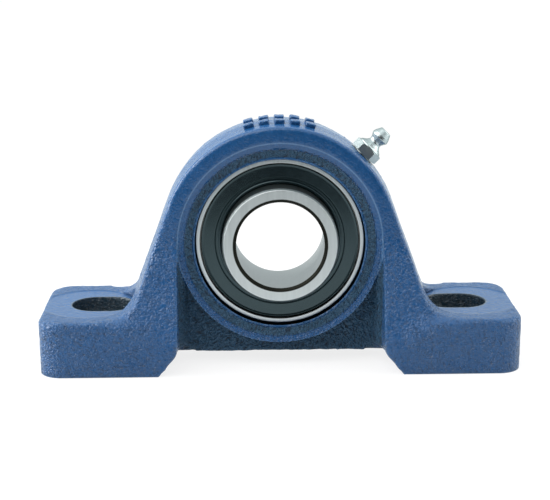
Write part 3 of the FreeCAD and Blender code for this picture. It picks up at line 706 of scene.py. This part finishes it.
# %% Relief of the cast skin
SWELL, SWELL_SIZE = mm(0.16, 13.0)
PEEL, PEEL_SIZE = mm(0.06, 2.6)
PEEL_WHERE_ROUGH, PEEL_FRACTAL = 1.5, (0.8, 2.1, 3)
FOLDS, FOLD_SIZE = mm(0.30, 2.8)
FOLD_FRACTAL, FOLD_RANGE = (0.9, 2.0, 2, 1.0, 2.0), (1.3, 2.2)
BUMP_HEIGHT, BUMP_SPACING = mm(0.24, 5.5)
BUMP_RANGE = (0.03, 0.11)
RING_START, RING_END = mm(28.0, 29.0), mm(32.5, 33.0)
POCKET_WALL, BOSS_EDGE, POCKET_CEILING = mm(34.9, 35.4), mm(35.3, 35.6), mm(40.0, 44.0)
FEET_ROUGH, FEET_ACROSS, FEET_UP = 0.42, mm(36.0, 46.0), mm(14.0, 26.0)
LEGS_ROUGH, LEGS_UP = 0.24, mm(36.0, 62.0)


def rough_share(co):
    """1 on the ring round the seat, on the web and on the pocket walls; less on feet and legs."""
    r = from_axis(co)
    ring = smooth_share(r, *RING_START) * (1.0 - smooth_share(r, *RING_END))
    inside = 1.0 - smooth_share(abs(co.x), *POCKET_WALL)
    pocket = inside * smooth_share(r, *BOSS_EDGE) * (1.0 - smooth_share(co.z, *POCKET_CEILING))
    outside = smooth_share(abs(co.x), *FEET_ACROSS)
    feet = FEET_ROUGH * outside * (1.0 - smooth_share(co.z, *FEET_UP))
    legs = LEGS_ROUGH * (1.0 - smooth_share(co.z, *LEGS_UP))
    return max(ring, pocket, feet, legs)


def relief(co):
    """Height of the skin over the smooth casting."""
    rough = rough_share(co)
    swell = SWELL * noise.noise(co / SWELL_SIZE)
    peel = PEEL * (1.0 + PEEL_WHERE_ROUGH * rough) * noise.fractal(co / PEEL_SIZE, *PEEL_FRACTAL)
    ridge = noise.ridged_multi_fractal(co / FOLD_SIZE, *FOLD_FRACTAL)
    folds = -FOLDS * rough * smooth_share(ridge, *FOLD_RANGE)
    distance = noise.voronoi(co / BUMP_SPACING)[0][0]
    bump = BUMP_HEIGHT * (1.0 - smooth_share(distance, *BUMP_RANGE))
    return swell + peel + folds + bump


# %% [markdown]
# The walls of the slots are darker, and round the foot of the nipple, under its hexagon, shadow is
# painted into the colour. Roughness and this darkening stay on the vertices as values that the
# paint reads.

# %% Rough places, dark slot walls and painted shadow, and the relief itself
SLOT_CENTRE_X, SLOT_STRAIGHT, SLOT_RADIUS = mm(62.0, 2.5, 8.5)
SLOT_FADE_IN, SLOT_FADE_OUT = mm(0.15, 0.6)
NIPPLE_SHADOW_FADE = 0.6 * MM


def dark_slots_and_shadow_share(co):
    """1 on the walls of the slots, which are darker, and round the foot of the nipple, where shadow is painted."""
    beyond = max(abs(abs(co.x) - SLOT_CENTRE_X) - SLOT_STRAIGHT, 0.0)
    beside_slot = math.hypot(beyond, co.y)
    slot = 1.0 - smooth_share(beside_slot, SLOT_RADIUS + SLOT_FADE_IN, SLOT_RADIUS + SLOT_FADE_OUT)
    # Painted shadow round the foot of the nipple, under its hexagon.
    seat = 1.0 - smooth_share(from_nipple(co), NIPPLE_FLAT_RADIUS - NIPPLE_SHADOW_FADE, NIPPLE_FLAT_RADIUS)
    return max(slot, seat)


rough_layer = casting.verts.layers.float.new("rough")
dark_slots_and_shadow_layer = casting.verts.layers.float.new("dark_slots_and_shadow")
for v in casting.verts:
    v[rough_layer] = rough_share(v.co) * cast_share(v.co)
    v[dark_slots_and_shadow_layer] = dark_slots_and_shadow_share(v.co)
casting.normal_update()
moves = [(v, v.normal * relief(v.co) * cast_share(v.co)) for v in casting.verts]
for v, move in moves:
    v.co += move
print("deepest move %.2f mm" % (max(move.length for _, move in moves) / MM))

# %% Hollows and edges, kept as a value on each vertex
HOLLOW_REACH, HOLLOW_BLURS = 0.5, 2


def measure_hollows(bm):
    """0.5 on a flat face, more in a hollow and less on an edge."""
    layer = bm.verts.layers.float.new("hollow")
    bm.normal_update()
    for v in bm.verts:
        ring = [e.other_vert(v).co for e in v.link_edges]
        middle = sum(ring, Vector()) / len(ring)
        reach = sum((p - v.co).length for p in ring) / len(ring)
        v[layer] = 0.5 + HOLLOW_REACH * (middle - v.co).dot(v.normal) / max(reach, 1e-9)
    for _ in range(HOLLOW_BLURS):
        spread = {v: sum(e.other_vert(v)[layer] for e in v.link_edges) / len(v.link_edges)
                  for v in bm.verts}
        for v, value in spread.items():
            v[layer] = 0.5 * (v[layer] + value)


measure_hollows(casting)
finish_piece("housing_casting", casting, "housing", paint, ["housing"])

# %% [markdown]
# Two rows of plain square pads stand on the crest of the arch, a little more than a millimetre
# high. Each pad is a cube cut into small faces and relaxed until its corners are round. A noise
# makes it uneven, because small raised shapes never come sharp out of the sand.

# %% Square pads on the crest
CREST_RADIUS = 41.1 * MM
CREST_FALL = 0.064
PAD_ROWS, PADS_IN_ROW = (-5.0, 2.6), 5
PAD_LENGTH, PAD_GAP = 3.4, 1.9
PAD_DEPTH, PAD_TALL, PAD_PROUD = 3.8, 3.6, 1.3
PAD_CUTS, PAD_RELAX = 11, 6
PAD_ROUGH, PAD_NOISE_SIZE = mm(0.22, 2.4)
PAD_FRACTAL = (0.9, 2.0, 3)


def crest_pad(depth, angle):
    """One pad, at a depth from the middle in mm and at an angle from the top of the arch."""
    pad = bmesh.new()
    bmesh.ops.create_cube(pad, size=1.0)
    bmesh.ops.subdivide_edges(pad, edges=pad.edges, cuts=PAD_CUTS, use_grid_fill=True)
    relax(pad, pad.verts, PAD_RELAX)
    bmesh.ops.scale(pad, vec=Vector((PAD_LENGTH, PAD_DEPTH, PAD_TALL)) * MM, verts=pad.verts)
    lift = CREST_RADIUS - CREST_FALL * abs(depth) * MM + (PAD_PROUD - PAD_TALL / 2) * MM
    bmesh.ops.translate(pad, vec=(0, depth * MM, lift), verts=pad.verts)
    bmesh.ops.rotate(pad, cent=(0, 0, 0), matrix=Matrix.Rotation(angle, 3, "Y"), verts=pad.verts)
    bmesh.ops.translate(pad, vec=AXIS, verts=pad.verts)
    pad.normal_update()
    lumps = [PAD_ROUGH * noise.fractal(v.co / PAD_NOISE_SIZE, *PAD_FRACTAL) for v in pad.verts]
    for v, lump in zip(pad.verts, lumps):
        v.co += v.normal * lump
    return pad


pads = bmesh.new()
for depth in PAD_ROWS:
    here = -(PAD_LENGTH * PADS_IN_ROW + PAD_GAP * (PADS_IN_ROW - 1)) / 2
    for _ in range(PADS_IN_ROW):
        one = crest_pad(depth, (here + PAD_LENGTH / 2) * MM / CREST_RADIUS)
        here += PAD_LENGTH + PAD_GAP
        scratch = bpy.data.meshes.new("pad")
        one.to_mesh(scratch)
        one.free()
        pads.from_mesh(scratch)
        bpy.data.meshes.remove(scratch)
measure_hollows(pads)
finish_piece("crest_bars", pads, "housing", paint)


# %% [markdown]
# ## Rings turned about the bore
#
# Rings, seals and the nipple are lathe work, so they are made the way a lathe makes them: draw half
# of the section, round its corners, and spin it. Rounding comes first, while a corner is one
# vertex; after the spin it would be hundreds of edges.

# %% Spin a section
RING_STEPS = 240
ROUND_STEPS = 3
SUPPORT, SUPPORTED_RUN = 0.12, 1.0


def arc_points(centre, radius, start, end, steps):
    """Points of an arc in the section plane, angles in degrees from the radius towards +Y."""
    turns = [math.radians(start + (end - start) * k / steps) for k in range(steps + 1)]
    return [(centre[0] + radius * math.cos(a), centre[1] + radius * math.sin(a), 0.0) for a in turns]


def with_supports(section):
    """The section with a point near each end of every long run, so that flat faces shade flat."""
    made = []
    for (r, h, rounding), (r2, h2, rounding2) in zip(section, section[1:] + section[:1]):
        made.append((r, h, rounding))
        run = math.hypot(r2 - r, h2 - h)
        for at in (rounding + SUPPORT, run - rounding2 - SUPPORT) if run > SUPPORTED_RUN else ():
            made.append((r + (r2 - r) * at / run, h + (h2 - h) * at / run, 0.0))
    return made


def spun(section, steps, cent, axis, place):
    """Closed ring from corners (radius, height, rounding) in mm, put in space by place(r, h)."""
    section = with_supports(section)
    bm = bmesh.new()
    corners = [bm.verts.new(place(r, h)) for r, h, _ in section]
    bm.faces.new(corners)
    for corner, (_, _, rounding) in zip(corners, section):
        if rounding:
            bmesh.ops.bevel(bm, geom=[corner], offset=rounding * MM, offset_type="OFFSET",
                            segments=ROUND_STEPS, profile=0.5, affect="VERTICES", material=-1)
    bmesh.ops.delete(bm, geom=bm.faces[:], context="FACES_ONLY")
    bmesh.ops.spin(bm, geom=bm.verts[:] + bm.edges[:], cent=cent, axis=axis, angle=math.tau, steps=steps,
                   use_merge=True)
    bmesh.ops.remove_doubles(bm, verts=bm.verts, dist=1e-8)
    return bm


def bore_ring(section):
    """Ring about the bore, from corners (radius, y, rounding)."""
    return spun(section, RING_STEPS, AXIS, (0, 1, 0), lambda r, y: AXIS + Vector((r, y, 0)) * MM)


# %% Outer ring: ground sphere outside, race inside, a bright narrow face at each end
SPHERE_R, OUTER_HALF, CORNER_Y = 31.0, 8.0, 7.2
RACE_CENTRE, RACE_RADIUS, RACE_SHOULDER = 22.821, 4.953, 25.9
ARC_STEPS = 24

sphere_end = math.degrees(math.asin(CORNER_Y / SPHERE_R))
race_end = math.degrees(math.acos((RACE_SHOULDER - RACE_CENTRE) / RACE_RADIUS))
end_face = [(28.75, OUTER_HALF, 0.12), (27.5, OUTER_HALF, 0.12), (27.3, OUTER_HALF - 0.25, 0.05),
            (27.3, 6.75, 0.0), (27.6, 6.75, 0.0), (27.6, 5.85, 0.0), (RACE_SHOULDER, 5.85, 0.1)]
section = arc_points((0.0, 0.0), SPHERE_R, -sphere_end, sphere_end, ARC_STEPS) + end_face
section += arc_points((RACE_CENTRE, 0.0), RACE_RADIUS, race_end, -race_end, ARC_STEPS)
section += [(r, -y, rounding) for r, y, rounding in reversed(end_face)]
finish_piece("outer_ring_ground", bore_ring(section), "outer_ring", face_steel,
             ["outer_ring"])

# %% Inner ring: long sleeve with the ball race outside and the tapered bore inside
INNER_HALF, INNER_R, FACE_BREAK, BORE_BREAK = 14.0, 19.9, 0.7, 0.8
INNER_RACE_CENTRE = 23.179
SMALL_END_R, TAPER = 15.0, 24.0


def bore_radius(y):
    """The bore tapers 1:12 on the diameter, with its small end at the front."""
    return SMALL_END_R + (y + INNER_HALF) / TAPER


def bore_edge(side):
    """Bore corner and face corner of the chamfer at one end."""
    end, y = side * INNER_HALF, side * (INNER_HALF - BORE_BREAK)
    return [(bore_radius(end) + BORE_BREAK, end, 0.12), (bore_radius(y), y, 0.12)]


inner_end = math.degrees(math.acos((INNER_RACE_CENTRE - INNER_R) / RACE_RADIUS))
section = [(INNER_R, -INNER_HALF + FACE_BREAK, 0.15)]
section += arc_points((INNER_RACE_CENTRE, 0.0), RACE_RADIUS, 180.0 + inner_end, 180.0 - inner_end,
                      ARC_STEPS)
section += [(INNER_R, INNER_HALF - FACE_BREAK, 0.15), (INNER_R - FACE_BREAK, INNER_HALF, 0.15)]
section += bore_edge(1) + bore_edge(-1)[::-1] + [(INNER_R - FACE_BREAK, -INNER_HALF, 0.15)]
finish_piece("inner_ring_ground", bore_ring(section), "inner_ring", ring_steel,
             ["inner_ring"])

# %% [markdown]
# The rubber lips are the dark faces between the two rings. Moulded rubber has no sharp corner: a
# broad smooth face, a step, and a thin ridge that leans on the inner ring.

# %% Seal lips
LIP_FACE = [(27.15, 6.45, 0.0), (27.15, 7.02, 0.16), (26.85, 7.08, 0.1), (26.35, 6.9, 0.14),
            (22.45, 6.9, 0.18), (22.1, 6.72, 0.1), (21.25, 6.72, 0.1), (20.95, 6.95, 0.14),
            (20.5, 6.95, 0.12), (19.97, 6.4, 0.08), (19.97, 5.95, 0.0), (20.65, 5.85, 0.0),
            (21.6, 5.85, 0.0), (21.6, 6.45, 0.0)]
for side, end in ((-1, "front"), (1, "rear")):
    section = [(r, side * y, rounding) for r, y, rounding in LIP_FACE]
    finish_piece("seal_%s_moulded_lip" % end, bore_ring(section), "outer_ring", rubber,
                 ["seal_%s_lip" % end])

# %% [markdown]
# ## The grease nipple
#
# A grease nipple is a small turned fitting: a hexagon for the spanner, a waist, and a conical head
# that the grease gun grips. Its hexagon is a prism whose corners the lathe has cut away, which a
# boolean with a double cone makes exactly.

# %% Nipple axis
NIPPLE_TOP_MM = 10.95
NIPPLE_ZERO = NIPPLE_TIP - NIPPLE_DIR * NIPPLE_TOP_MM * MM
NIPPLE_TURN = NIPPLE_DIR.to_track_quat("Z", "Y").to_matrix().to_4x4()
NIPPLE_PLACE = Matrix.Translation(NIPPLE_ZERO) @ NIPPLE_TURN
NIPPLE_STEPS = 72


def nipple_ring(section):
    """Ring about Z, from corners (radius, height, rounding)."""
    return spun(section, NIPPLE_STEPS, (0, 0, 0), (0, 0, 1), lambda r, h: Vector((r, 0, h)) * MM)


# %% Stem and head
stem_section = [(0.75, -5.9, 0.0), (2.48, -5.9, 0.0), (2.98, -5.4, 0.1), (2.98, -0.4, 0.0), (3.9, -0.4, 0.1),
                (3.9, 0.0, 0.0), (4.3, 0.2, 0.0), (4.3, 3.45, 0.12), (4.1, 3.65, 0.1), (3.0, 4.45, 0.3),
                (2.25, 5.4, 0.3), (2.25, 6.2, 0.35), (3.05, 7.55, 0.2), (3.25, 7.85, 0.18), (3.05, 8.9, 0.2),
                (2.0, 10.95, 0.25), (0.85, 10.95, 0.15), (0.85, 10.4, 0.0), (1.4, 9.65, 0.0), (1.4, 2.6, 0.0),
                (0.75, 2.6, 0.0)]
stem = nipple_ring(stem_section)
bmesh.ops.transform(stem, matrix=NIPPLE_PLACE, verts=stem.verts)
finish_piece("nipple_stem", stem, "housing", zinc, ["grease_nipple"])

# %% Hexagon: a prism with its corners turned off
HEX_ACROSS, HEX_HEIGHT = 9.0, 3.1
HEX_HOLE_R, HEX_FACE_R, HEX_CONE_R = 4.2, 4.75, 5.3
HEX_TURN = math.radians(-9.5)

hexagon = bmesh.new()
bmesh.ops.create_circle(hexagon, segments=6, radius=HEX_ACROSS / math.sqrt(3) * MM, cap_ends=True)
bmesh.ops.rotate(hexagon, cent=(0, 0, 0), matrix=Matrix.Rotation(HEX_TURN, 3, "Z"), verts=hexagon.verts)
raised = bmesh.ops.extrude_face_region(hexagon, geom=hexagon.faces[:])["geom"]
raised = [part for part in raised if isinstance(part, bmesh.types.BMVert)]
bmesh.ops.translate(hexagon, vec=(0, 0, HEX_HEIGHT * MM), verts=raised)
bmesh.ops.recalc_face_normals(hexagon, faces=hexagon.faces)
cone = nipple_ring([(HEX_HOLE_R, 0.0, 0.0), (HEX_FACE_R, 0.0, 0.0), (HEX_CONE_R, 0.35, 0.0),
                    (HEX_CONE_R, 2.75, 0.0), (HEX_FACE_R, HEX_HEIGHT, 0.0), (HEX_HOLE_R, HEX_HEIGHT, 0.0)])
bmesh.ops.recalc_face_normals(cone, faces=cone.faces)


def boolean(first, second, operation):
    """Boolean of two bmeshes, made by the modifier and read back."""
    made = []
    for bm in (first, second):
        mesh = bpy.data.meshes.new("operand")
        bm.to_mesh(mesh)
        bm.free()
        made.append(bpy.data.objects.new("operand", mesh))
        bpy.context.scene.collection.objects.link(made[-1])
    cutter = made[0].modifiers.new("cut", "BOOLEAN")
    cutter.object, cutter.operation, cutter.solver = made[1], operation, "EXACT"
    evaluated = made[0].evaluated_get(bpy.context.evaluated_depsgraph_get())
    result = bmesh.new()
    result.from_mesh(evaluated.to_mesh())
    for operand in made:
        bpy.data.objects.remove(operand)
    return result


nut = boolean(hexagon, cone, "INTERSECT")
bmesh.ops.transform(nut, matrix=NIPPLE_PLACE, verts=nut.verts)
finish_piece("nipple_hexagon", nut, "housing", zinc)

# %% [markdown]
# A small spring presses the check ball against the nipple's mouth, and in the real nipple its
# coils come closer when grease pushes the ball in. Here the spring keeps its CAD shape, gets the
# drawn wire finish and is attached to no body.

coil = bmesh.new()
coil.from_mesh(nodes["nipple_spring"].data)
bmesh.ops.remove_doubles(coil, verts=coil.verts, dist=SAME_POINT)
spring = finish_piece("nipple_spring_coil", coil, None, wire_steel, ["nipple_spring"])
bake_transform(spring)

# %% [markdown]
# ## Finishes for the pieces that keep their CAD mesh
#
# Balls, cage, rivets, seal cores and the nipple's check ball have the right shape already, so only
# their materials change.

# %% Dress the CAD nodes
CAD_FINISH = {"cage_front": sheet_steel, "cage_rear": sheet_steel, "cage_rivets": sheet_steel,
              "seal_front_core": sheet_steel, "seal_rear_core": sheet_steel,
              "nipple_check_ball": ball_steel}
CAD_FINISH.update({name: ball_steel for name in nodes if name.startswith("ball_")})
for name, material in CAD_FINISH.items():
    nodes[name].data.materials.clear()
    nodes[name].data.materials.append(material)
print("dressed", len(CAD_FINISH), "CAD nodes")
